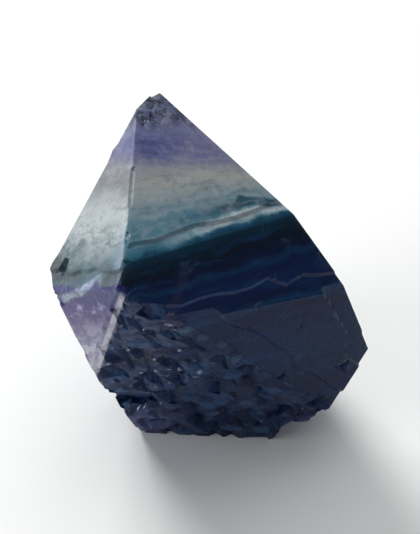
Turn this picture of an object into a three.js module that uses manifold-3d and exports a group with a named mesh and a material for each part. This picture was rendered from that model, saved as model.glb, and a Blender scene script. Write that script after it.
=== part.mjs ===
// A natural fluorite octahedron: one piece of rough, broken out of a larger mass along its cleavage.
// Four bright cleavage faces meet at the front, and the foot is an uneven break on which it rests.
// Millimetres, +Z up, the front looks along -Y.

import * as THREE from 'three';
import { mergeVertices } from 'three/addons/utils/BufferGeometryUtils.js';
import Module from 'manifold-3d';

const wasm = await Module();
wasm.setup();

// Place of the crystal's middle, from which the faces are measured, above the middle of the footprint.
const crystalMiddle = new THREE.Vector3(-4.496, 3.044, 23);

// Each face: the way it looks round the upright axis, how far it looks up, and its distance from the middle.
const faces = {
  main: { turn: -6.9, rise: 75, distance: 16.2 },
  pale: { turn: 177.7, rise: 34.5, distance: 13.5 },
  mauve: { turn: -135.3, rise: -5.3, distance: 14.9 },
  dark: { turn: -59.6, rise: 10.7, distance: 17.4 },
  shoulder: { turn: -48.2, rise: 41.7, distance: 17.5 },
  rough: { turn: -94, rise: -15.8, distance: 13.65 },
  backLeft: { turn: 133.5, rise: -8.2, distance: 6.45 },
  backRight: { turn: 44.1, rise: 10.6, distance: 9.95 },
  leftBreak: { turn: -170.5, rise: -19, distance: 12.2 },
  underside: { turn: -2.3, rise: -34.5, distance: 23.2 },
  base: { turn: 0, rise: -90, distance: 23 },
};

// Cleavage ledges: within the inset from the edge that a face shares with another, it lies a step lower.
// The line where the step falls wanders by jag at every pitch along the edge.
const ledges = [
  { face: 'main', towards: 'shoulder', inset: 1.5, drop: 0.32, jag: 0.3, pitch: 2.6, seed: 1 },
  { face: 'main', towards: 'backRight', inset: 1.5, drop: 0.3, jag: 0.6, pitch: 2.2, seed: 2 },
  { face: 'pale', towards: 'backLeft', inset: 1.3, drop: 0.4, jag: 0.8, pitch: 2.9, seed: 3 },
  { face: 'pale', towards: 'mauve', inset: 2.1, drop: 0.28, jag: 0.5, pitch: 1.9, seed: 4 },
  { face: 'mauve', towards: 'rough', inset: 0.9, drop: 0.3, jag: 0.35, pitch: 1.6, seed: 5 },
  { face: 'shoulder', towards: 'dark', inset: 1.9, drop: 0.35, jag: 0.7, pitch: 2.3, seed: 6 },
  { face: 'dark', towards: 'rough', inset: 2.2, drop: 0.5, jag: 0.9, pitch: 2.4, seed: 7 },
  { face: 'dark', towards: 'backRight', inset: 2.8, drop: 0.45, jag: 0.8, pitch: 2.8, seed: 8 },
  { face: 'backLeft', towards: 'pale', inset: 5.2, drop: 0.55, jag: 1.1, pitch: 3.1, seed: 9 },
  { face: 'backLeft', towards: 'underside', inset: 4.4, drop: 0.6, jag: 0.9, pitch: 2.5, seed: 10 },
  { face: 'backRight', towards: 'main', inset: 6.1, drop: 0.5, jag: 1.2, pitch: 3.4, seed: 11 },
  { face: 'backRight', towards: 'underside', inset: 3.2, drop: 0.55, jag: 0.9, pitch: 2.7, seed: 12 },
  { face: 'underside', towards: 'dark', inset: 4.5, drop: 0.6, jag: 1.0, pitch: 3.0, seed: 13 },
  { face: 'underside', towards: 'base', inset: 4.0, drop: 0.4, jag: 0.8, pitch: 2.6, seed: 14 },
  { face: 'backLeft', towards: 'backRight', inset: 3.4, drop: 0.5, jag: 1.0, pitch: 3.6, seed: 15 },
  { face: 'backRight', towards: 'dark', inset: 4.2, drop: 0.4, jag: 1.0, pitch: 2.9, seed: 16 },
  { face: 'underside', towards: 'backRight', inset: 3.8, drop: 0.5, jag: 0.9, pitch: 2.8, seed: 17 },
];

// Broken faces are covered by hollows on a loose grid. Cleaved ones keep the crystal's own flat sides, and
// the others are left by flat-sided shards at any angle. share is how many of the grid's places have one.
const brokenFaces = [
  { face: 'rough', spacing: 2.7, share: 0.95, cleaved: 0.55, radius: [2.2, 5.6], bite: [0.3, 1.3], seed: 21 },
  { face: 'leftBreak', spacing: 3.2, share: 0.9, cleaved: 0.4, radius: [2.2, 5], bite: [0.2, 1], seed: 22 },
  { face: 'dark', spacing: 4.4, share: 0.4, cleaved: 0, radius: [2.4, 5.2], bite: [0.1, 0.6], seed: 23 },
  { face: 'shoulder', spacing: 4.4, share: 0.3, cleaved: 0, radius: [2, 4.4], bite: [0.1, 0.4], seed: 24 },
  { face: 'underside', spacing: 4.2, share: 0.5, cleaved: 0.2, radius: [2.6, 6], bite: [0.1, 0.9], seed: 25 },
  { face: 'backLeft', spacing: 4.8, share: 0.4, cleaved: 0, radius: [2.4, 5.2], bite: [0.1, 0.8], seed: 26 },
  { face: 'backRight', spacing: 4.8, share: 0.4, cleaved: 0, radius: [2.4, 5.2], bite: [0.1, 0.8], seed: 27 },
];

// Single nicks, by their place across and uphill on a face.
const nicks = [
  { face: 'main', across: 7.9, uphill: 8.2, radius: 2.0, bite: 0.75, cleaved: false },
  { face: 'main', across: 6.3, uphill: 6.6, radius: 1.5, bite: 0.5, cleaved: false },
  { face: 'main', across: 5.1, uphill: 7.9, radius: 1.2, bite: 0.4, cleaved: false },
  { face: 'main', across: 8.8, uphill: 6.3, radius: 1.7, bite: 0.55, cleaved: false },
  { face: 'main', across: 7.1, uphill: 9.6, radius: 1.3, bite: 0.45, cleaved: false },
  { face: 'pale', across: 7.0, uphill: -1.1, radius: 1.4, bite: 0.6, cleaved: false },
  { face: 'pale', across: 3.1, uphill: -3.7, radius: 1.2, bite: 0.3, cleaved: false },
  { face: 'rough', across: 1.1, uphill: 10.1, radius: 2.0, bite: 0.9, cleaved: true },
  { face: 'rough', across: 3.4, uphill: 8.0, radius: 1.8, bite: 0.8, cleaved: true },
  { face: 'rough', across: 1.6, uphill: 1.2, radius: 2.6, bite: 1.2, cleaved: true },
  { face: 'rough', across: -1.5, uphill: -2.4, radius: 2.2, bite: 1.1, cleaved: true },
  { face: 'rough', across: -2.5, uphill: -5.8, radius: 2.4, bite: 1.2, cleaved: true },
  { face: 'rough', across: -4.1, uphill: 2.9, radius: 2.0, bite: 0.9, cleaved: true },
];
const nickSeed = 41;

const edgeChips = { spacing: 2.4, share: 0.5, cleaved: 0.2, radius: [1.1, 4.6], bite: [0.06, 0.5], seed: 31 };
const cornerChips = { share: 1, cleaved: 0, radius: [2, 4.2], bite: [0.3, 0.8], seed: 32 };

const stockSize = 160;
const gridReach = 36;
const rowHeight = 0.87;
const looseness = 0.8;
const overhang = 0.6;

// A repeatable number from 0 to 1 for a pair of whole numbers.
function chance(seed, index) {
  const wave = Math.sin(seed * 12.9898 + index * 78.233) * 43758.5453;
  return wave - Math.floor(wave);
}

function between(range, amount) {
  return range[0] + (range[1] - range[0]) * amount;
}

function normalOf(face) {
  const turn = THREE.MathUtils.degToRad(face.turn);
  const rise = THREE.MathUtils.degToRad(face.rise);
  return new THREE.Vector3(
    Math.cos(rise) * Math.cos(turn),
    Math.cos(rise) * Math.sin(turn),
    Math.sin(rise),
  );
}

// Axes of a face: across is level, uphill climbs the face, and normal looks out of the stone.
function axesOf(face) {
  const normal = normalOf(face);
  const level = new THREE.Vector3(-normal.y, normal.x, 0);
  const across = level.length() > 1e-6 ? level.normalize() : new THREE.Vector3(0, 1, 0);
  const uphill = new THREE.Vector3().crossVectors(normal, across);
  return { across, uphill, normal };
}

function frameOf(face) {
  const { across, uphill, normal } = axesOf(face);
  const frame = new THREE.Matrix4().makeBasis(across, uphill, normal);
  return frame.setPosition(normal.clone().multiplyScalar(face.distance));
}

function toSolid(geometry) {
  geometry.deleteAttribute('normal');
  geometry.deleteAttribute('uv');
  const merged = mergeVertices(geometry, 1e-5);
  const vertProperties = new Float32Array(merged.attributes.position.array);
  const triVerts = new Uint32Array(merged.index.array);
  return new wasm.Manifold(new wasm.Mesh({ numProp: 3, vertProperties, triVerts }));
}

// Everything beyond one face, as a block to cut away.
function beyondFace(face) {
  const block = new THREE.BoxGeometry(stockSize, stockSize, stockSize);
  block.translate(0, 0, stockSize / 2);
  block.applyMatrix4(frameOf(face));
  return toSolid(block);
}

// The way within a face to the edge that it shares with another, and how far off that edge lies.
function wayTowards(face, other) {
  const { across, uphill, normal } = axesOf(face);
  const otherNormal = normalOf(other);
  const way = otherNormal.clone().addScaledVector(normal, -otherNormal.dot(normal));
  const edgeDistance = (other.distance - face.distance * otherNormal.dot(normal)) / way.length();
  const heading = Math.atan2(way.dot(uphill), way.dot(across));
  return { heading, edgeDistance };
}

// One ledge, as the slice to cut off between its jagged line and the edge.
function ledgeSlice(ledge) {
  const face = faces[ledge.face];
  const { heading, edgeDistance } = wayTowards(face, faces[ledge.towards]);
  const line = edgeDistance - ledge.inset;
  const steps = Math.ceil(stockSize / 4 / ledge.pitch);
  const shape = new THREE.Shape();
  shape.moveTo(-steps * ledge.pitch, stockSize / 4);
  for (let step = -steps; step <= steps; step += 1) {
    const wander = (chance(ledge.seed, step) - 0.5) * 2 * ledge.jag;
    shape.lineTo(step * ledge.pitch, line + wander);
  }
  shape.lineTo(steps * ledge.pitch, stockSize / 4);
  shape.closePath();
  const slice = new THREE.ExtrudeGeometry(shape, { depth: stockSize / 8, bevelEnabled: false });
  slice.translate(0, 0, -ledge.drop);
  slice.rotateZ(heading - Math.PI / 2);
  slice.applyMatrix4(frameOf(face));
  return toSolid(slice);
}

// The crystal's own three axes, worked out from its three best faces.
function crystalAxes() {
  const main = normalOf(faces.main);
  const first = main.clone().sub(normalOf(faces.pale)).normalize();
  const second = main.clone().sub(normalOf(faces.dark));
  second.addScaledVector(first, -second.dot(first)).normalize();
  return { first, second, third: new THREE.Vector3().crossVectors(first, second) };
}

const axes = crystalAxes();

// Three turns for a shard, the same at every build.
function turnsOf(seed, index) {
  return [500, 600, 700].map((part) => Math.PI * chance(seed + part, index));
}

// The shape that a hollow takes away: the crystal's own octahedron, or a shard at any angle.
function makeShard(radius, cleaved, turns) {
  const turned = new THREE.Matrix4();
  if (cleaved) {
    turned.makeBasis(axes.first, axes.second, axes.third);
    return new THREE.OctahedronGeometry(radius).applyMatrix4(turned);
  }
  turned.makeRotationFromEuler(new THREE.Euler(...turns));
  return new THREE.DodecahedronGeometry(radius).applyMatrix4(turned);
}

// A hollow that dips below the skin at a point by the bite, with the shard's middle outside the stone.
function makeHollow(point, outward, { radius, bite, cleaved, turns }) {
  const shard = makeShard(radius, cleaved, turns);
  const places = shard.attributes.position;
  const corner = new THREE.Vector3();
  let reach = 0;
  for (let index = 0; index < places.count; index += 1) {
    corner.fromBufferAttribute(places, index);
    reach = Math.max(reach, corner.dot(outward));
  }
  const middle = point.clone().addScaledVector(outward, reach - bite);
  shard.translate(middle.x, middle.y, middle.z);
  return toSolid(shard);
}

// Corners of the plain crystal: each point where three faces meet inside all the others.
function findCorners() {
  const list = Object.entries(faces).map(([name, face]) => ({
    name,
    normal: normalOf(face),
    distance: face.distance,
  }));
  const corners = [];
  for (let a = 0; a < list.length; a += 1) {
    for (let b = a + 1; b < list.length; b += 1) {
      for (let c = b + 1; c < list.length; c += 1) {
        const bc = new THREE.Vector3().crossVectors(list[b].normal, list[c].normal);
        const ca = new THREE.Vector3().crossVectors(list[c].normal, list[a].normal);
        const ab = new THREE.Vector3().crossVectors(list[a].normal, list[b].normal);
        const volume = list[a].normal.dot(bc);
        if (Math.abs(volume) > 1e-6) {
          const point = bc.multiplyScalar(list[a].distance);
          point.addScaledVector(ca, list[b].distance);
          point.addScaledVector(ab, list[c].distance);
          point.divideScalar(volume);
          if (list.every((face) => face.normal.dot(point) < face.distance + 1e-6)) {
            corners.push({ point, meets: [a, b, c] });
          }
        }
      }
    }
  }
  return { list, corners };
}

// Edges join two corners that share two faces.
function findEdges({ list, corners }) {
  const edges = [];
  for (let i = 0; i < corners.length; i += 1) {
    for (let j = i + 1; j < corners.length; j += 1) {
      const shared = corners[i].meets.filter((face) => corners[j].meets.includes(face));
      if (shared.length === 2) {
        const outward = list[shared[0]].normal.clone().add(list[shared[1]].normal).normalize();
        edges.push({ from: corners[i].point, to: corners[j].point, outward });
      }
    }
  }
  return edges;
}

// The random choices for one hollow, the same at every build. Small bites are the most common.
function drawHollow(kind, index) {
  const depth = chance(kind.seed + 100, index);
  return {
    present: chance(kind.seed + 300, index) < kind.share,
    cleaved: chance(kind.seed + 400, index) < kind.cleaved,
    radius: between(kind.radius, chance(kind.seed, index)),
    bite: between(kind.bite, depth * depth),
    along: chance(kind.seed + 200, index),
    turns: turnsOf(kind.seed, index),
  };
}

// Small chips knocked out of the edges and corners.
function chipHollows(crystal) {
  const hollows = [];
  let count = 0;
  for (const edge of findEdges(crystal)) {
    const places = Math.floor(edge.from.distanceTo(edge.to) / edgeChips.spacing);
    for (let place = 0; place < places; place += 1) {
      const chip = drawHollow(edgeChips, count);
      const point = edge.from.clone().lerp(edge.to, (place + chip.along) / places);
      if (chip.present) {
        hollows.push(makeHollow(point, edge.outward, chip));
      }
      count += 1;
    }
  }
  crystal.corners.forEach((corner, index) => {
    const outward = new THREE.Vector3();
    corner.meets.forEach((face) => outward.add(crystal.list[face].normal));
    hollows.push(makeHollow(corner.point, outward.normalize(), drawHollow(cornerChips, index)));
  });
  return hollows;
}

function pointOn(face, across, uphill) {
  const own = axesOf(face);
  const point = own.normal.clone().multiplyScalar(face.distance);
  return point.addScaledVector(own.across, across).addScaledVector(own.uphill, uphill);
}

// Hollows on a loose grid over a broken face.
function breakHollows(crystal, broken) {
  const face = faces[broken.face];
  const normal = normalOf(face);
  const reach = Math.ceil(gridReach / broken.spacing);
  const hollows = [];
  let count = 0;
  for (let row = -reach; row <= reach; row += 1) {
    for (let column = -reach; column <= reach; column += 1) {
      const hollow = drawHollow(broken, count);
      const sideways = column + 0.5 * (row & 1) + looseness * (hollow.along - 0.5);
      const upward = rowHeight * row + looseness * (chance(broken.seed + 50, count) - 0.5);
      const point = pointOn(face, sideways * broken.spacing, upward * broken.spacing);
      const inside = crystal.list.every((other) => other.normal.dot(point) < other.distance + overhang);
      if (hollow.present && inside) {
        hollows.push(makeHollow(point, normal, hollow));
      }
      count += 1;
    }
  }
  return hollows;
}

function nickHollows() {
  return nicks.map((nick, index) => {
    const face = faces[nick.face];
    const point = pointOn(face, nick.across, nick.uphill);
    return makeHollow(point, normalOf(face), { ...nick, turns: turnsOf(nickSeed, index) });
  });
}

function makeStone() {
  let solid = toSolid(new THREE.BoxGeometry(stockSize / 2, stockSize / 2, stockSize / 2));
  Object.values(faces).forEach((face) => {
    solid = solid.subtract(beyondFace(face));
  });
  ledges.forEach((ledge) => {
    solid = solid.subtract(ledgeSlice(ledge));
  });
  const crystal = findCorners();
  const hollows = [...chipHollows(crystal), ...nickHollows()];
  brokenFaces.forEach((broken) => hollows.push(...breakHollows(crystal, broken)));
  hollows.forEach((hollow) => {
    solid = solid.subtract(hollow);
  });
  return solid;
}

function toGeometry(solid) {
  const mesh = solid.getMesh();
  const geometry = new THREE.BufferGeometry();
  geometry.setAttribute('position', new THREE.BufferAttribute(mesh.vertProperties, 3));
  geometry.setIndex(new THREE.BufferAttribute(mesh.triVerts, 1));
  geometry.computeVertexNormals();
  return geometry;
}

const fluorite = new THREE.MeshStandardMaterial({ color: '#5b7488', roughness: 0.22, metalness: 0 });

const stone = new THREE.Mesh(toGeometry(makeStone()), fluorite);
stone.name = 'fluorite_octahedron';
stone.position.copy(crystalMiddle);

const group = new THREE.Group();
group.add(stone);

export default group;
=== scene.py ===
# Rough fluorite octahedron: the visual model, its crystal material and a plain studio.
import itertools
import bpy
import numpy as np
from math import radians
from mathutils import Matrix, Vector


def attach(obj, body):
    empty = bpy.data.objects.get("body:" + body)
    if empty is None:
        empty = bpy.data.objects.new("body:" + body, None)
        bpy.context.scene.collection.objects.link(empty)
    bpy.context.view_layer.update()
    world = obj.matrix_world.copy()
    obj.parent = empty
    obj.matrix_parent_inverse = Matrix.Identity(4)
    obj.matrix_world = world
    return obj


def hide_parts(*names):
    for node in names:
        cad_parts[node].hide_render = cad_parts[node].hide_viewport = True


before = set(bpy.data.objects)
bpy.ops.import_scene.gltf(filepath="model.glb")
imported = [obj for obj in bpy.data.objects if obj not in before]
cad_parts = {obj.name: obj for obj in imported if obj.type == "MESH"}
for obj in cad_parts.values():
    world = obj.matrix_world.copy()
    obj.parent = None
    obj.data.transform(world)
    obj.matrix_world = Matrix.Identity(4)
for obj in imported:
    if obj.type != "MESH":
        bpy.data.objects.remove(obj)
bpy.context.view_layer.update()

node = "fluorite_octahedron"
mm = 0.001
viewRise = 50.0        # degrees that the photo's camera looks down

# The stone's driving sizes in millimetres and degrees, the same as the solid's.
stone = {
    "middle": (-4.496, 3.044, 23.0),
    # face: turn round the upright axis, rise, distance from the middle
    "faces": {
        "main": (-6.9, 75.0, 16.2),
        "pale": (177.7, 34.5, 13.5),
        "mauve": (-135.3, -5.3, 14.9),
        "dark": (-59.6, 10.7, 17.4),
        "shoulder": (-48.2, 41.7, 17.5),
        "rough": (-94.0, -15.8, 13.65),
        "backLeft": (133.5, -8.2, 6.45),
        "backRight": (44.1, 10.6, 9.95),
        "leftBreak": (-170.5, -19.0, 12.2),
        "underside": (-2.3, -34.5, 23.2),
        "base": (0.0, -90.0, 23.0),
    },
    # ledge: face, the neighbour whose edge it follows, inset, drop, jag, pitch, seed
    "ledges": [
        ("main", "shoulder", 1.5, 0.32, 0.3, 2.6, 1),
        ("main", "backRight", 1.5, 0.3, 0.6, 2.2, 2),
        ("pale", "backLeft", 1.3, 0.4, 0.8, 2.9, 3),
        ("pale", "mauve", 2.1, 0.28, 0.5, 1.9, 4),
        ("mauve", "rough", 0.9, 0.3, 0.35, 1.6, 5),
        ("shoulder", "dark", 1.9, 0.35, 0.7, 2.3, 6),
        ("dark", "rough", 2.2, 0.5, 0.9, 2.4, 7),
        ("dark", "backRight", 2.8, 0.45, 0.8, 2.8, 8),
        ("backLeft", "pale", 5.2, 0.55, 1.1, 3.1, 9),
        ("backLeft", "underside", 4.4, 0.6, 0.9, 2.5, 10),
        ("backRight", "main", 6.1, 0.5, 1.2, 3.4, 11),
        ("backRight", "underside", 3.2, 0.55, 0.9, 2.7, 12),
        ("underside", "dark", 4.5, 0.6, 1.0, 3.0, 13),
        ("underside", "base", 4.0, 0.4, 0.8, 2.6, 14),
        ("backLeft", "backRight", 3.4, 0.5, 1.0, 3.6, 15),
        ("backRight", "dark", 4.2, 0.4, 1.0, 2.9, 16),
        ("underside", "backRight", 3.8, 0.5, 0.9, 2.8, 17),
    ],
    # broken face: grid spacing, share of its places used, share of cleaved hollows, radii, bites, seed
    "broken": [
        ("rough", 2.7, 0.95, 0.55, (2.2, 5.6), (0.3, 1.3), 21),
        ("leftBreak", 3.2, 0.9, 0.4, (2.2, 5.0), (0.2, 1.0), 22),
        ("dark", 4.4, 0.4, 0.0, (2.4, 5.2), (0.1, 0.6), 23),
        ("shoulder", 4.4, 0.3, 0.0, (2.0, 4.4), (0.1, 0.4), 24),
        ("underside", 4.2, 0.5, 0.2, (2.6, 6.0), (0.1, 0.9), 25),
        ("backLeft", 4.8, 0.4, 0.0, (2.4, 5.2), (0.1, 0.8), 26),
        ("backRight", 4.8, 0.4, 0.0, (2.4, 5.2), (0.1, 0.8), 27),
    ],
    # nick: face, place across and uphill on it, radius, bite, cleaved or not
    "nicks": [
        ("main", 7.9, 8.2, 2.0, 0.75, False),
        ("main", 6.3, 6.6, 1.5, 0.5, False),
        ("main", 5.1, 7.9, 1.2, 0.4, False),
        ("main", 8.8, 6.3, 1.7, 0.55, False),
        ("main", 7.1, 9.6, 1.3, 0.45, False),
        ("pale", 7.0, -1.1, 1.4, 0.6, False),
        ("pale", 3.1, -3.7, 1.2, 0.3, False),
        ("rough", 1.1, 10.1, 2.0, 0.9, True),
        ("rough", 3.4, 8.0, 1.8, 0.8, True),
        ("rough", 1.6, 1.2, 2.6, 1.2, True),
        ("rough", -1.5, -2.4, 2.2, 1.1, True),
        ("rough", -2.5, -5.8, 2.4, 1.2, True),
        ("rough", -4.1, 2.9, 2.0, 0.9, True),
    ],
    "nickSeed": 41,
    # chips: spacing along an edge, share of the places used, share cleaved, radii, bites, seed
    "edgeChips": (2.4, 0.5, 0.2, (1.1, 4.6), (0.06, 0.5), 31),
    "cornerChips": (0.0, 1.0, 0.0, (2.0, 4.2), (0.3, 0.8), 32),
    "rows": 226,           # grid steps from foot to top
    "columns": 424,        # grid steps round the stone
    "kinks": 16,           # bends of a ledge's line on each side of its middle
    "riser": 0.45,         # width of the slope at a ledge
    "brokenReach": 36.0,   # how far the loose grid of hollows goes on a broken face
    "pull": 0.03,          # how strongly a crease point stays near its cell's middle
    "wearGlintGain": 4.0,       # how soon an edge counts as worn and gets its painted glint
    "wearGlintReach": 3,        # smoothing steps of the worn-edge mask, which also carries the painted edge glint
    "sharpAngle": 14.0,    # degrees past which a crease isn't smoothed
}


def chance(seed, index):
    wave = np.sin(seed * 12.9898 + index * 78.233) * 43758.5453
    return wave - np.floor(wave)


def between(span, amount):
    return span[0] + (span[1] - span[0]) * amount


def faceAxes(face):
    turn, rise = np.radians(face[0]), np.radians(face[1])
    normal = np.array([np.cos(rise) * np.cos(turn), np.cos(rise) * np.sin(turn), np.sin(rise)])
    level = np.array([-normal[1], normal[0], 0.0])
    length = np.linalg.norm(level)
    across = level / length if length > 1e-6 else np.array([0.0, 1.0, 0.0])
    return across, np.cross(normal, across), normal


faceNames = list(stone["faces"])
faceNormals = np.array([faceAxes(stone["faces"][name])[2] for name in faceNames])
faceDistances = np.array([stone["faces"][name][2] for name in faceNames])


def findCorners():
    # A corner is where three faces meet inside all the others.
    corners = []
    for meets in itertools.combinations(range(len(faceNames)), 3):
        normals = faceNormals[list(meets)]
        if abs(np.linalg.det(normals)) > 1e-6:
            point = np.linalg.solve(normals, faceDistances[list(meets)])
            if np.all(faceNormals @ point < faceDistances + 1e-6):
                corners.append((point, meets))
    return corners


def crystalAxes():
    # The crystal's own three axes, from its three best faces.
    main, pale, dark = (faceAxes(stone["faces"][name])[2] for name in ("main", "pale", "dark"))
    first = (main - pale) / np.linalg.norm(main - pale)
    second = main - dark
    second = second - first * (second @ first)
    second = second / np.linalg.norm(second)
    return np.array([first, second, np.cross(first, second)])


def cycled(rows):
    return np.array([np.roll(row, turn) for row in rows for turn in range(3)], float)


# The two shapes that hollows take away, each as corners and face directions for a radius of one:
# the crystal's own octahedron, and a twelve-sided shard. The last number is how far out its faces lie.
golden = (1 + 5 ** 0.5) / 2
cleavedShape = {
    "corners": np.vstack([crystalAxes(), -crystalAxes()]),
    "faces": np.array([(1, 1, 1), (1, 1, -1), (1, -1, 1), (-1, 1, 1)]) / 3 ** 0.5 @ crystalAxes(),
    "reach": 1 / 3 ** 0.5,
}
shardShape = {
    "corners": np.vstack([
        np.array(list(itertools.product((-1, 1), repeat=3)), float),
        cycled([(0, a / golden, b * golden) for a in (-1, 1) for b in (-1, 1)]),
    ]) / 3 ** 0.5,
    "faces": cycled([(1, 0, golden), (-1, 0, golden)]) / (1 + golden ** 2) ** 0.5,
    "reach": golden ** 2 / (3 * (1 + golden ** 2)) ** 0.5,
}


def turnedBy(angles):
    # Turns about z, y and x, one after the other, as a matrix.
    (sx, sy, sz), (cx, cy, cz) = np.sin(angles), np.cos(angles)
    aboutX = np.array([[1, 0, 0], [0, cx, -sx], [0, sx, cx]])
    aboutY = np.array([[cy, 0, sy], [0, 1, 0], [-sy, 0, cy]])
    aboutZ = np.array([[cz, -sz, 0], [sz, cz, 0], [0, 0, 1]])
    return aboutX @ aboutY @ aboutZ


def makeHollow(point, outward, radius, bite, cleaved, seed, index, isBreak):
    # A hollow dips below the skin at the point by the bite, with the shard's middle outside the stone.
    if cleaved:
        shape = cleavedShape
        turned = np.eye(3)
    else:
        shape = shardShape
        turned = turnedBy([np.pi * chance(seed + part, index) for part in (500, 600, 700)])
    outward = outward / np.linalg.norm(outward)
    support = (shape["corners"] @ turned.T * radius @ outward).max()
    centre = point + outward * (support - bite)
    return centre, radius, shape["faces"] @ turned.T, shape["reach"] * radius, isBreak


def drawHollow(kind, index):
    # The random choices for one hollow: whether it is there, and its radius, bite and kind.
    share, cleaved, radii, bites, seed = kind
    radius = between(radii, chance(seed, index))
    bite = between(bites, chance(seed + 100, index) ** 2)
    return chance(seed + 300, index) < share, radius, bite, chance(seed + 400, index) < cleaved


def findHollows():
    # Chips along the edges and at the corners, single nicks, and a loose grid of hollows on the broken faces.
    corners = findCorners()
    hollows = []
    count = 0
    spacing, *kind = stone["edgeChips"]
    for (start, meetsA), (end, meetsB) in itertools.combinations(corners, 2):
        shared = [face for face in meetsA if face in meetsB]
        if len(shared) == 2:
            places = int(np.linalg.norm(end - start) // spacing)
            for place in range(places):
                present, radius, bite, cleaved = drawHollow(kind, count)
                along = (place + chance(kind[-1] + 200, count)) / places
                if present:
                    hollows.append(makeHollow(start + (end - start) * along, faceNormals[shared].sum(0),
                                              radius, bite, cleaved, kind[-1], count, 0.0))
                count += 1
    spacing, *kind = stone["cornerChips"]
    for index, (point, meets) in enumerate(corners):
        _, radius, bite, cleaved = drawHollow(kind, index)
        hollows.append(makeHollow(point, faceNormals[list(meets)].sum(0), radius, bite, cleaved,
                                  kind[-1], index, 0.0))

    def pointOn(name, sideways, upward):
        across, uphill, normal = faceAxes(stone["faces"][name])
        return normal * stone["faces"][name][2] + across * sideways + uphill * upward, normal

    for index, (name, sideways, upward, radius, bite, cleaved) in enumerate(stone["nicks"]):
        point, normal = pointOn(name, sideways, upward)
        hollows.append(makeHollow(point, normal, radius, bite, cleaved, stone["nickSeed"], index, 0.5))

    for name, spacing, *kind in stone["broken"]:
        seed = kind[-1]
        reach = int(np.ceil(stone["brokenReach"] / spacing))
        count = 0
        for row in range(-reach, reach + 1):
            for column in range(-reach, reach + 1):
                present, radius, bite, cleaved = drawHollow(kind, count)
                sideways = column + 0.5 * (row & 1) + 0.8 * (chance(seed + 200, count) - 0.5)
                upward = 0.87 * row + 0.8 * (chance(seed + 50, count) - 0.5)
                point, normal = pointOn(name, sideways * spacing, upward * spacing)
                if present and np.all(faceNormals @ point < faceDistances + 0.6):
                    hollows.append(makeHollow(point, normal, radius, bite, cleaved, seed, count, 1.0))
                count += 1
    return hollows


def stoneSkin(directions):
    # Reach of the skin along each direction from the middle: the nearest face plane, a step lower past
    # a ledge's jagged line with a short slope between, or the near side of a hollow's shard where that
    # is nearer still.
    facing = directions @ faceNormals.T
    with np.errstate(divide="ignore", invalid="ignore"):
        reaches = np.where(facing > 1e-6, faceDistances / facing, np.inf)
    skinNormals = np.tile(faceNormals, (len(directions), 1, 1))
    kinks = stone["kinks"]
    for name, towards, inset, drop, jag, pitch, seed in stone["ledges"]:
        index = faceNames.index(name)
        other = faceNames.index(towards)
        normal = faceNormals[index]
        way = faceNormals[other] - normal * (faceNormals[other] @ normal)
        line = faceDistances[other] - faceDistances[index] * (faceNormals[other] @ normal)
        line = line / np.linalg.norm(way)
        way = way / np.linalg.norm(way)
        along = np.cross(way, normal)
        seen = facing[:, index] > 1e-6
        slope = np.where(seen, facing[:, index], 1.0)
        points = directions * ((faceDistances[index] - drop / 2) / slope)[:, None]
        wander = (chance(seed, np.arange(-kinks, kinks + 1)) - 0.5) * 2 * jag
        place = np.clip(points @ along / pitch + kinks, 0.0, 2 * kinks - 0.01)
        part = place.astype(int)
        bend = wander[part + 1] - wander[part]
        threshold = line - inset + wander[part] + (place - part) * bend
        down = np.clip((points @ way - threshold) / stone["riser"] + 0.5, 0.0, 1.0)
        lowered = (faceDistances[index] - drop * down) / slope
        past = seen & (down > 0) & (lowered < reaches[:, index])
        reaches[past, index] = lowered[past]
        downhill = way - bend[:, None] / pitch * along
        steep = (down < 1)[:, None] * drop / stone["riser"] * downhill
        turned = normal + steep
        turned /= np.linalg.norm(turned, axis=1)[:, None]
        skinNormals[past, index] = turned[past]
    nearest = reaches.argmin(1)
    reach = reaches[np.arange(len(directions)), nearest]
    normals = skinNormals[np.arange(len(directions)), nearest]
    broken = np.isin(nearest, [faceNames.index(name) for name in ("rough", "leftBreak")]).astype(float)
    for centre, radius, planes, flat, isBreak in findHollows():
        # rays that pass near the shard, then the last of its near planes before the first of its far ones
        middle = directions @ centre
        close = np.flatnonzero((middle > 0) & (centre @ centre - middle ** 2 < radius ** 2))
        slope = directions[close] @ planes.T
        slope = np.where(np.abs(slope) < 1e-9, 1e-9, slope)
        toward = np.sign(slope)
        offset = planes @ centre
        entries = (offset - toward * flat) / slope
        exits = (offset + toward * flat) / slope
        first = entries.argmax(1)
        near = entries[np.arange(len(close)), first]
        hit = (near < exits.min(1)) & (near < reach[close]) & (near > 0)
        rays = close[hit]
        reach[rays] = near[hit]
        normals[rays] = planes[first[hit]] * toward[hit, first[hit]][:, None]
        broken[rays] = np.maximum(broken[rays], isBreak)
    return reach, normals, broken


def gridDirections(rows, columns):
    # Latitude and longitude grid of directions, with the samples half a step off both poles.
    rise = (np.arange(rows) + 0.5) / rows * np.pi - np.pi / 2
    turn = np.arange(columns) / columns * 2 * np.pi
    rise, turn = np.meshgrid(rise, turn, indexing="ij")
    ways = np.stack([np.cos(rise) * np.cos(turn), np.cos(rise) * np.sin(turn), np.sin(rise)], -1)
    return ways.reshape(-1, 3)


def creasePoints(points, normals, pull):
    # One point per grid cell: where the skin planes of its four samples meet, drawn gently to their middle.
    middle = points.mean(1)
    pulls = pull * np.eye(3)
    system = np.einsum("nki,nkj->nij", normals, normals) + pulls
    target = np.einsum("nki,nk->ni", normals, np.einsum("nki,nki->nk", normals, points - middle[:, None]))
    shift = np.linalg.solve(system, target[..., None])[..., 0]
    size = np.linalg.norm(points - middle[:, None], axis=2).max(1)
    length = np.linalg.norm(shift, axis=1)
    shift *= np.minimum(1.0, 1.1 * size / np.maximum(length, 1e-9))[:, None]
    crease = middle + shift
    for normal, distance in zip(faceNormals, faceDistances):
        crease -= normal * np.maximum(crease @ normal - distance, 0.0)[:, None]
    return crease


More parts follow.
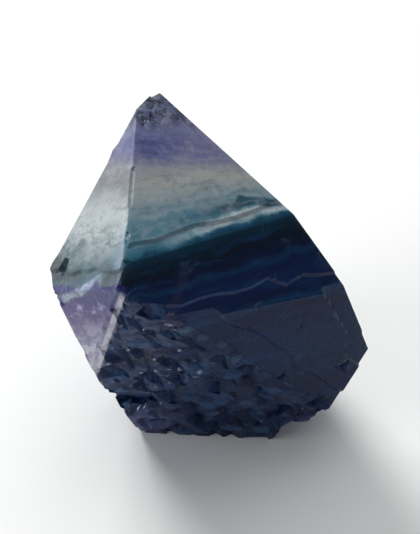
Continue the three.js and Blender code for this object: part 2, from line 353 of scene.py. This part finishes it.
def makeStone():
    rows, columns = stone["rows"], stone["columns"]
    directions = gridDirections(rows, columns)
    reach, normals, broken = stoneSkin(directions)
    samples = (directions * reach[:, None]).reshape(rows, columns, 3)
    normals = normals.reshape(rows, columns, 3)
    broken = broken.reshape(rows, columns)
    around = lambda grid: np.roll(grid, -1, axis=1)
    corners = np.stack([samples[:-1], around(samples)[:-1], around(samples)[1:], samples[1:]], 2)
    cornerNormals = np.stack([normals[:-1], around(normals)[:-1], around(normals)[1:], normals[1:]], 2)
    cells = creasePoints(corners.reshape(-1, 4, 3), cornerNormals.reshape(-1, 4, 3), stone["pull"])
    edgeness = 1.0 - np.linalg.norm(cornerNormals.mean(2), axis=-1)
    # edge mask for wear, which also carries a painted glint along the edges
    wearGlint = np.clip(edgeness * stone["wearGlintGain"] - 0.1, 0.0, 1.0) * (1.0 - 0.8 * broken[:-1])
    brokenShare = broken[:-1]
    for step in range(stone["wearGlintReach"]):
        wearGlint = (wearGlint + np.roll(wearGlint, 1, 1) + np.roll(wearGlint, -1, 1) + np.vstack([wearGlint[1:], wearGlint[-1:]])
                + np.vstack([wearGlint[:1], wearGlint[:-1]])) / 5.0
    grid = cells.reshape(rows - 1, columns, 3)
    foot = np.append(samples[0].mean(0)[:2], -stone["faces"]["base"][2])
    top = samples[-1].mean(0)
    points = np.vstack([grid.reshape(-1, 3), foot, top])
    points = (points + np.array(stone["middle"])) * mm
    index = np.arange((rows - 1) * columns).reshape(rows - 1, columns)
    nextIndex = np.roll(index, -1, axis=1)
    quads = np.stack([index[:-1], nextIndex[:-1], nextIndex[1:], index[1:]], -1).reshape(-1, 4)
    footFan = np.stack([nextIndex[0], index[0], np.full(columns, len(points) - 2)], -1)
    topFan = np.stack([index[-1], nextIndex[-1], np.full(columns, len(points) - 1)], -1)
    mesh = bpy.data.meshes.new("fluorite")
    mesh.from_pydata(points.tolist(), [], quads.tolist() + footFan.tolist() + topFan.tolist())
    for name, values in (("wearGlint", wearGlint), ("broken", brokenShare)):
        ends = [float(values[0].mean()), float(values[-1].mean())]
        layer = mesh.attributes.new(name, "FLOAT", "POINT")
        layer.data.foreach_set("value", np.append(values.reshape(-1), ends).astype(np.float32))
    mesh.set_sharp_from_angle(angle=radians(stone["sharpAngle"]))
    mesh.update()
    piece = bpy.data.objects.new("fluorite_stone", mesh)
    bpy.context.scene.collection.objects.link(piece)
    return piece


piece = makeStone()
print("stone mesh", len(piece.data.polygons), "faces")


# Materials

# Places in the stone's colouring are in millimetres from its middle: x to the right, h up the growth
# zones as the photo's camera sees them, and "above" counts from the main face's lower edge.
crystal = {
    "transmission": 0.5,
    "ior": 1.434,
    "specular": 0.15,
    "absorbColour": "#6f8fbe",
    "absorbPerMetre": 85.0,
    "wander": 2.4,              # how far the growth zones stray
    "slant": 0.30,              # how steeply the lower zones climb to the right
    "slantFrom": -4.5,          # the x that they climb from
    "ridge": (0.068, -4.88),    # x along the ridge beside the pale sector: its change with h, and x at h 0
    "mauveEdge": (0.387, -3.44),   # the same for the mauve sector's right edge
    "vein": (0.45, 1.2),        # h along the pale blue vein: its change with x, and h at x 0
    "mauveStreak": (0.36, 2.35),   # x along the streak, as for the ridge
    "bumpHeight": 0.3,
    # growth bands by height above the main face's lower edge
    "bands": [
        (-20.0, "#0c2d60"), (-16.0, "#083e6e"), (-13.0, "#0a3268"), (-10.4, "#08285c"), (-9.7, "#165486"),
        (-9.0, "#0a2c62"), (-7.0, "#0e3672"), (-5.2, "#0a2d64"), (-4.7, "#154e78"), (-4.1, "#08285a"),
        (-2.6, "#06203e"), (-1.4, "#08384f"), (-0.2, "#0d4e66"), (0.3, "#3f7e94"), (1.0, "#5a98ae"),
        (1.9, "#6c9fb4"), (3.0, "#6c9bb0"), (4.2, "#8aacba"), (6.0, "#a8bac0"), (8.5, "#c2c7c1"),
        (10.3, "#aeb0bc"), (11.6, "#7a7eb2"), (13.0, "#6a6eac"), (14.6, "#878dba"), (16.5, "#7680a4"),
        (18.5, "#7d86a8"),
    ],
    # dark patches in the pale sector: place across and up, size, strength
    "darkPatches": [(-12.9, -1.0, 2.0, 1.0), (-6.2, -1.9, 1.6, 0.7), (-10.8, -1.6, 1.5, 0.5)],
}

tint = {
    "pale": "#d7e1e4",
    "paleTop": "#94999e",
    "paleLow": "#688894",
    "paleMottle": "#4f7f84",
    "paleRidge": "#a9c3d6",
    "palePatch": "#0c2c3c",
    "mauve": "#5a36a0",
    "mauveTip": "#f0ecff",
    "mauveTop": "#28348a",
    "mauveSmudge": "#3b2a86",
    "mauveCrumb": "#d9c9f4",
    "vein": "#c6d6f0",
    "deepTeal": "#24586a",
    # painted highlight: the whitish streak where the main face's lower edge catches light
    "ledgeHighlight": "#e0f2f6",
    "mauveStreak": "#4a4470",
    "toe": "#5d669a",
    "zoneLight": "#d4dbd8",
    "zoneNavy": "#1c5c9c",
    "zoneDark": "#16304a",
    "tipRight": "#b9b8c6",
    "cloud": "#c9cbd2",
    "smoke": "#3b4468",
    "tipMottle": "#1d2340",
    # painted shade of pits and painted glints of facets on the broken faces
    "pitShade": "#041a44",
    "facetGlint": "#3d6a9c",
    # frost of worn edges, also used for painted glints along edges, painted glint flecks and a painted
    # highlight on the mauve sector's edge
    "frostAndGlint": "#f0eefc",
}


def linearColour(code):
    parts = [int(code[i:i + 2], 16) / 255 for i in (1, 3, 5)]
    return tuple(c / 12.92 if c <= 0.04045 else ((c + 0.055) / 1.055) ** 2.4 for c in parts) + (1.0,)


class NodeBoard:
    # Short ways to place and join shader nodes in one tree.
    def __init__(self, tree):
        self.tree = tree

    def add(self, kind, **settings):
        shaderNode = self.tree.nodes.new(kind)
        for key, value in settings.items():
            setattr(shaderNode, key, value)
        return shaderNode

    def put(self, socket, value):
        if isinstance(value, bpy.types.NodeSocket):
            self.tree.links.new(value, socket)
        else:
            socket.default_value = value

    def fill(self, kind, values, output=0, **settings):
        step = self.add(kind, **settings)
        for socket, value in zip(step.inputs, values):
            self.put(socket, value)
        return step.outputs[output]

    def math(self, operation, *values, clamp=False):
        return self.fill("ShaderNodeMath", values, operation=operation, use_clamp=clamp)

    def times(self, first, *others):
        for other in others:
            first = self.math("MULTIPLY", first, other)
        return first

    def onLine(self, line, value):
        # The line's height at a value: its slope times the value, and its start.
        return self.math("MULTIPLY_ADD", value, *line)

    def fade(self, value, low, high, start=0.0, end=1.0, kind="SMOOTHSTEP"):
        # Runs smoothly from start to end while the value goes from low to high.
        return self.fill("ShaderNodeMapRange", (value, low, high, start, end), interpolation_type=kind)

    def near(self, value, middle, outer, inner):
        # One within the inner distance of the middle, nothing past the outer one.
        return self.fade(self.math("ABSOLUTE", self.math("SUBTRACT", value, middle)), outer, inner)

    def mix(self, amount, first, second):
        step = self.add("ShaderNodeMix", data_type="RGBA")
        for place, value in ((0, amount), (6, first), (7, second)):
            self.put(step.inputs[place], value)
        return step.outputs[2]

    def paint(self, amount, below, name):
        return self.mix(amount, below, linearColour(tint[name]))

    def noise(self, vector, scale, detail, roughness, output=0):
        step = self.add("ShaderNodeTexNoise")
        names = ("Vector", "Scale", "Detail", "Roughness")
        for name, value in zip(names, (vector, scale, detail, roughness)):
            self.put(step.inputs[name], value)
        return step.outputs[output]

    def cells(self, vector, scale):
        step = self.add("ShaderNodeTexVoronoi", feature="F1")
        self.put(step.inputs["Vector"], vector)
        self.put(step.inputs["Scale"], scale)
        return step.outputs

    def vector(self, operation, *values, output=0):
        return self.fill("ShaderNodeVectorMath", values, output=output, operation=operation)

    def facets(self, vector, scale, slope):
        # Height of a flat facet in each cell: its own random slope times the way from its middle.
        cell = self.cells(vector, scale)
        lean = self.vector("SUBTRACT", cell["Color"], (0.5, 0.5, 0.5))
        away = self.vector("SUBTRACT", vector, cell["Position"])
        return self.math("MULTIPLY", self.vector("DOT_PRODUCT", lean, away, output="Value"), slope * 2)

    def ramp(self, value, stops):
        low, high = stops[0][0], stops[-1][0]
        step = self.add("ShaderNodeValToRGB")
        band = step.color_ramp
        while len(band.elements) < len(stops):
            band.elements.new(0.5)
        for element, (place, code) in zip(band.elements, stops):
            element.position = (place - low) / (high - low)
            element.color = linearColour(code)
        self.put(step.inputs[0], self.fade(value, low, high, kind="LINEAR"))
        return step.outputs[0]


class StonePattern:
    # The coordinates and masks that the stone's colouring reads. The warped axes wander as growth zones
    # do, the straight ones follow the edges, and the grain's spots look round on the steep left faces.
    def __init__(self, board):
        middleX, middleY, middleZ = stone["middle"]
        tilt = radians(90 - viewRise)
        lean = board.add("ShaderNodeMapping", vector_type="POINT")
        lean.inputs["Scale"].default_value = (1 / mm, 1 / mm, 1 / mm)
        lean.inputs["Rotation"].default_value = (-tilt, 0.0, 0.0)
        lean.inputs["Location"].default_value = (-middleX, -middleY * np.cos(tilt) - middleZ * np.sin(tilt),
                                                 middleY * np.sin(tilt) - middleZ * np.cos(tilt))
        board.put(lean.inputs["Vector"], board.add("ShaderNodeTexCoord").outputs["Object"])
        self.plain = lean.outputs[0]
        stray = board.vector("SUBTRACT", board.noise(self.plain, 0.28, 4.0, 0.55, output=1), (0.5, 0.5, 0.5))
        self.warped = board.vector("MULTIPLY_ADD", stray, (crystal["wander"],) * 3, self.plain)
        split = board.add("ShaderNodeSeparateXYZ")
        board.put(split.inputs[0], self.warped)
        self.x, self.h, self.z = split.outputs
        straight = board.add("ShaderNodeSeparateXYZ")
        board.put(straight.inputs[0], self.plain)
        self.straightX, self.straightH = straight.outputs[:2]
        self.grain = board.fill("ShaderNodeCombineXYZ", (self.x, self.h, board.math("MULTIPLY", self.z, 0.3)))
        climb = board.fade(self.h, 5.0, 11.5, crystal["slant"], 0.0)
        side = board.math("SUBTRACT", self.x, crystal["slantFrom"])
        self.above = board.math("SUBTRACT", self.h, board.math("MULTIPLY", climb, side))
        self.upper = board.fade(self.above, 0.2, 1.6)
        mauveEdge = board.onLine(crystal["mauveEdge"], self.straightH)
        self.offMauve = board.math("SUBTRACT", mauveEdge, self.straightX)
        self.wearGlint = board.add("ShaderNodeAttribute", attribute_name="wearGlint").outputs["Fac"]
        self.rough = board.add("ShaderNodeAttribute", attribute_name="broken").outputs["Fac"]
        self.flakes = board.noise(self.plain, 2.2, 4.0, 0.6)


def paintPaleSector(board, at, colour):
    # Left of the front ridge: grey above, milky in the middle, blue-green and mottled low down
    offRidge = board.math("SUBTRACT", board.onLine(crystal["ridge"], at.h), at.x)
    pale = board.paint(board.fade(at.h, 9.0, 5.0), linearColour(tint["paleTop"]), "pale")
    pale = board.paint(board.fade(at.h, 3.2, -0.8), pale, "paleLow")
    mottle = board.fade(board.noise(at.grain, 0.75, 6.0, 0.7), 0.44, 0.6, 0.0, 0.8)
    pale = board.paint(board.times(mottle, board.fade(at.h, 5.5, 0.5)), pale, "paleMottle")
    besideRidge = board.times(board.fade(offRidge, 2.0, 1.0), board.fade(at.h, 4.5, 2.0), 0.6)
    pale = board.paint(besideRidge, pale, "paleRidge")
    for patchX, patchH, size, strength in crystal["darkPatches"]:
        offX = board.math("POWER", board.math("SUBTRACT", at.x, patchX), 2.0)
        offH = board.math("POWER", board.math("SUBTRACT", at.h, patchH), 2.0)
        patch = board.fade(board.math("ADD", offX, offH), size ** 2, 0.0, 0.0, strength)
        pale = board.paint(patch, pale, "palePatch")
    inside = board.times(board.fade(offRidge, -0.1, 0.2), board.fade(at.h, 13.0, 8.5),
                         board.fade(at.h, -3.1, -2.7))
    return board.mix(inside, colour, pale)


def paintMauveSector(board, at, colour):
    # Below the pale sector: navy at the top, then mauve with crumbs, nearly white at the tip
    mauve = board.paint(board.fade(at.h, -5.5, -10.5), linearColour(tint["mauve"]), "mauveTip")
    smudges = board.fade(board.noise(at.grain, 0.55, 4.0, 0.6), 0.56, 0.42, 0.0, 0.5)
    mauve = board.paint(smudges, mauve, "mauveSmudge")
    crumbs = board.fade(board.noise(at.grain, 0.8, 6.0, 0.7), 0.49, 0.64, 0.0, 0.9)
    mauve = board.paint(crumbs, mauve, "mauveCrumb")
    mauve = board.paint(board.fade(at.h, -5.4, -4.3, 0.0, 0.85), mauve, "mauveTop")
    inside = board.times(board.fade(at.offMauve, -0.1, 0.3), board.fade(at.h, -2.6, -3.2))
    colour = board.mix(inside, colour, mauve)
    # the vein climbs to the right between the two sectors
    vein = board.near(board.math("SUBTRACT", at.h, board.onLine(crystal["vein"], at.x)), 0.0, 0.75, 0.2)
    patchy = board.fade(board.noise(at.grain, 1.1, 3.0, 0.6), 0.36, 0.56, 0.35, 0.95)
    return board.paint(board.times(vein, board.fade(at.x, -6.5, -8.5), patchy), colour, "vein")


def paintStreaks(board, at, colour):
    # Deep teal, a whitish streak at the main face's lower edge that is a painted highlight of its ledge
    # catching light, a violet toe, a faint mauve streak
    deep = board.times(board.near(at.above, 3.0, 1.6, 0.5), board.fade(at.x, 2.0, 8.0, 0.0, 0.85))
    colour = board.paint(deep, colour, "deepTeal")
    patchy = board.fade(board.noise(at.plain, 0.8, 4.0, 0.6), 0.3, 0.55, 0.45, 1.0)
    white = board.times(board.near(at.above, 1.1, 1.0, 0.3), board.fade(at.x, -2.5, 7.0), patchy)
    colour = board.paint(white, colour, "ledgeHighlight")
    toe = board.times(board.fade(at.h, -16.8, -18.6), board.fade(at.x, 2.5, -1.0))
    colour = board.paint(toe, colour, "toe")
    streak = board.near(board.math("SUBTRACT", at.x, board.onLine(crystal["mauveStreak"], at.h)),
                        0.0, 0.9, 0.2)
    streak = board.times(streak, board.fade(at.h, -0.5, -1.5), board.fade(at.h, -8.5, -6.0), 0.5)
    return board.paint(streak, colour, "mauveStreak")


def paintInside(board, at, colour):
    # Fine growth zoning, clouds and smoke in the clear upper part, dark mottling under the tip
    drawnOut = board.fill("ShaderNodeCombineXYZ", (board.math("MULTIPLY", at.x, 0.16),
                                                   board.math("MULTIPLY", at.above, 1.1),
                                                   board.math("MULTIPLY", at.z, 0.16)))
    zoning = board.noise(drawnOut, 1.0, 5.0, 0.6)
    zoneTint = board.paint(at.upper, linearColour(tint["zoneNavy"]), "zoneLight")
    zoneShare = board.math("MULTIPLY_ADD", at.upper, -0.2, 0.45)
    colour = board.mix(board.fade(zoning, 0.5, 0.68, 0.0, zoneShare), colour, zoneTint)
    colour = board.paint(board.fade(zoning, 0.48, 0.34, 0.0, 0.25), colour, "zoneDark")
    tipRight = board.times(board.fade(at.x, -3.0, 5.0, 0.0, 0.35), board.fade(at.h, 10.0, 12.5))
    colour = board.paint(tipRight, colour, "tipRight")
    cloud = board.fade(board.noise(at.plain, 0.5, 6.0, 0.62), 0.46, 0.66, 0.0, 0.3)
    colour = board.paint(board.times(cloud, at.upper), colour, "cloud")
    smoke = board.fade(board.noise(at.plain, 1.1, 6.0, 0.7), 0.5, 0.7, 0.0, 0.27)
    colour = board.paint(board.times(smoke, at.upper), colour, "smoke")
    # darker mottled spots just under the tip
    tipMottle = board.fade(board.noise(at.plain, 0.8, 5.0, 0.7), 0.44, 0.56, 0.0, 0.6)
    return board.paint(board.times(tipMottle, board.fade(at.h, 14.3, 16.0)), colour, "tipMottle")


def paintBreak(board, at, colour):
    # Painted shade as dark chips and painted glints as clear chips on the broken faces, and the mask of white
    # flecks there, which are painted glints
    cell = board.cells(at.warped, 0.62)
    pick = board.add("ShaderNodeSeparateColor")
    board.put(pick.inputs[0], cell["Color"])
    low = board.times(at.rough, board.fade(at.h, -4.0, -5.5))
    # painted shade: dark pits on the broken faces
    pitShade = board.times(board.fade(pick.outputs[1], 0.36, 0.24, 0.0, 0.5), low)
    colour = board.paint(pitShade, colour, "pitShade")
    # painted glints: lighter facets on the broken faces
    facetGlint = board.times(board.fade(pick.outputs[1], 0.78, 0.92, 0.0, 0.55), low)
    colour = board.paint(facetGlint, colour, "facetGlint")
    # painted glints: small white flecks on the broken faces
    glintFlecks = board.times(board.fade(cell["Distance"], 0.28, 0.14),
                         board.fade(pick.outputs[0], 0.6, 0.66, 0.0, 0.9),
                         at.rough, board.fade(at.flakes, 0.42, 0.52), board.fade(at.h, -3.5, -6.0),
                         board.fade(at.h, -17.0, -13.0), board.fade(at.x, 6.0, 2.0))
    return colour, glintFlecks


def wearAndGlintMask(board, at, glintFlecks):
    # Worn edges with a painted glint along them, weaker in the dark zones, the frosted edge beside the mauve
    # sector with a painted highlight on it, and the painted glint flecks
    wearAndGlint = board.math("MULTIPLY", at.wearGlint, board.fade(at.flakes, 0.42, 0.62, 0.0, 0.45), clamp=True)
    wearAndGlint = board.times(wearAndGlint, board.math("MULTIPLY_ADD", at.upper, 0.6, 0.4))
    # frosted edge beside the mauve sector, also a painted highlight of that ridge catching light
    frostedEdgeHighlight = board.times(board.near(at.offMauve, 0.2, 0.5, 0.25), board.fade(at.h, -3.6, -4.6),
                          board.fade(at.h, -13.6, -12.8),
                          board.fade(board.noise(at.grain, 0.9, 3.0, 0.6), 0.35, 0.55, 0.5, 1.0))
    return board.math("MAXIMUM", board.math("MAXIMUM", wearAndGlint, frostedEdgeHighlight), glintFlecks)


def skinRelief(board, at):
    # Flat facets at any angle on the breaks, faint unevenness on the cleavage
    facets = board.math("ADD", board.facets(at.plain, 0.75, 1.0), board.facets(at.plain, 1.9, 0.45))
    hackle = board.math("MULTIPLY", facets, board.math("MULTIPLY_ADD", at.rough, 0.95, 0.05))
    bump = board.add("ShaderNodeBump")
    bump.inputs["Strength"].default_value = 1.0
    bump.inputs["Distance"].default_value = crystal["bumpHeight"] * mm
    board.put(bump.inputs["Height"],
              board.math("MULTIPLY_ADD", board.noise(at.plain, 1.3, 5.0, 0.6), 0.3, hackle))
    return bump.outputs[0]


def crystalMaterial():
    material = bpy.data.materials.new("fluorite")
    material.use_nodes = True
    board = NodeBoard(material.node_tree)
    shader = material.node_tree.nodes["Principled BSDF"]
    at = StonePattern(board)
    colour = board.ramp(at.above, crystal["bands"])
    colour = paintPaleSector(board, at, colour)
    colour = paintMauveSector(board, at, colour)
    colour = paintStreaks(board, at, colour)
    colour = paintInside(board, at, colour)
    colour, glintFlecks = paintBreak(board, at, colour)
    wearAndGlint = wearAndGlintMask(board, at, glintFlecks)
    board.put(shader.inputs["Base Color"], board.paint(wearAndGlint, colour, "frostAndGlint"))

    # Glassy cleavage, duller breaks, and duller worn edges, frosted edge and flecks, by the same mask that
    # carries their painted glints
    gloss = board.math("MULTIPLY_ADD", at.rough, 0.3, 0.05)
    gloss = board.math("MULTIPLY_ADD", wearAndGlint, 0.3, gloss)
    gloss = board.math("MULTIPLY_ADD", board.noise(at.plain, 1.7, 4.0, 0.6), 0.16, gloss, clamp=True)
    board.put(shader.inputs["Roughness"], gloss)
    board.put(shader.inputs["Normal"], skinRelief(board, at))

    shader.inputs["Transmission Weight"].default_value = crystal["transmission"]
    shader.inputs["IOR"].default_value = crystal["ior"]
    shader.inputs["Specular IOR Level"].default_value = crystal["specular"]
    absorb = board.add("ShaderNodeVolumeAbsorption")
    absorb.inputs["Color"].default_value = linearColour(crystal["absorbColour"])
    absorb.inputs["Density"].default_value = crystal["absorbPerMetre"]
    board.put(material.node_tree.nodes["Material Output"].inputs["Volume"], absorb.outputs[0])
    return material


piece.data.materials.append(crystalMaterial())
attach(piece, "root")
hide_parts(node)
print("crystal material done")


# Studio

studio = {
    "floorSize": 3.0,
    "floorColour": "#f2f2f0",
    "worldColour": "#e9edf2",
    "worldStrength": 0.31,
    "lookAt": (0.0, 0.003, 0.0218),
    "lens": 262.0,
    "distance": 0.45,
    "gamma": 0.9,          # a little more contrast than plain
    # soft lights: place around the stone, size, watts
    "lights": {
        "key": ((-0.23, 0.32, 0.38), 0.30, 2.4),
        "top": ((0.05, 0.10, 0.60), 0.50, 1.0),
        "fill": ((-0.50, -0.16, 0.25), 0.45, 1.1),
    },
}


def makeFloor():
    half = studio["floorSize"] / 2
    mesh = bpy.data.meshes.new("floor")
    corners = [(-half, -half, 0), (half, -half, 0), (half, half, 0), (-half, half, 0)]
    mesh.from_pydata(corners, [], [(0, 1, 2, 3)])
    floor = bpy.data.objects.new("floor", mesh)
    bpy.context.scene.collection.objects.link(floor)
    material = bpy.data.materials.new("floor")
    material.use_nodes = True
    shader = material.node_tree.nodes["Principled BSDF"]
    shader.inputs["Base Color"].default_value = linearColour(studio["floorColour"])
    shader.inputs["Roughness"].default_value = 0.9
    mesh.materials.append(material)


def aimAt(item, target):
    item.rotation_euler = (Vector(target) - item.location).to_track_quat("-Z", "Y").to_euler()


def makeLights(target):
    for name, (place, size, watts) in studio["lights"].items():
        data = bpy.data.lights.new(name, "AREA")
        data.shape = "DISK"
        data.size = size
        data.energy = watts
        light = bpy.data.objects.new(name, data)
        light.location = place
        aimAt(light, target)
        bpy.context.scene.collection.objects.link(light)
    world = bpy.data.worlds.new("studio")
    world.use_nodes = True
    background = world.node_tree.nodes["Background"]
    background.inputs["Color"].default_value = linearColour(studio["worldColour"])
    background.inputs["Strength"].default_value = studio["worldStrength"]
    bpy.context.scene.world = world


def makeCamera(target):
    data = bpy.data.cameras.new("camera")
    data.lens = studio["lens"]
    camera = bpy.data.objects.new("camera", data)
    rise = radians(viewRise)
    camera.location = Vector(target) + studio["distance"] * Vector((0, -np.cos(rise), np.sin(rise)))
    aimAt(camera, target)
    bpy.context.scene.collection.objects.link(camera)
    bpy.context.scene.camera = camera


bpy.context.scene.view_settings.view_transform = "Standard"   # no film curve
bpy.context.scene.view_settings.gamma = studio["gamma"]
makeFloor()
makeLights(studio["lookAt"])
makeCamera(studio["lookAt"])
print("studio done")
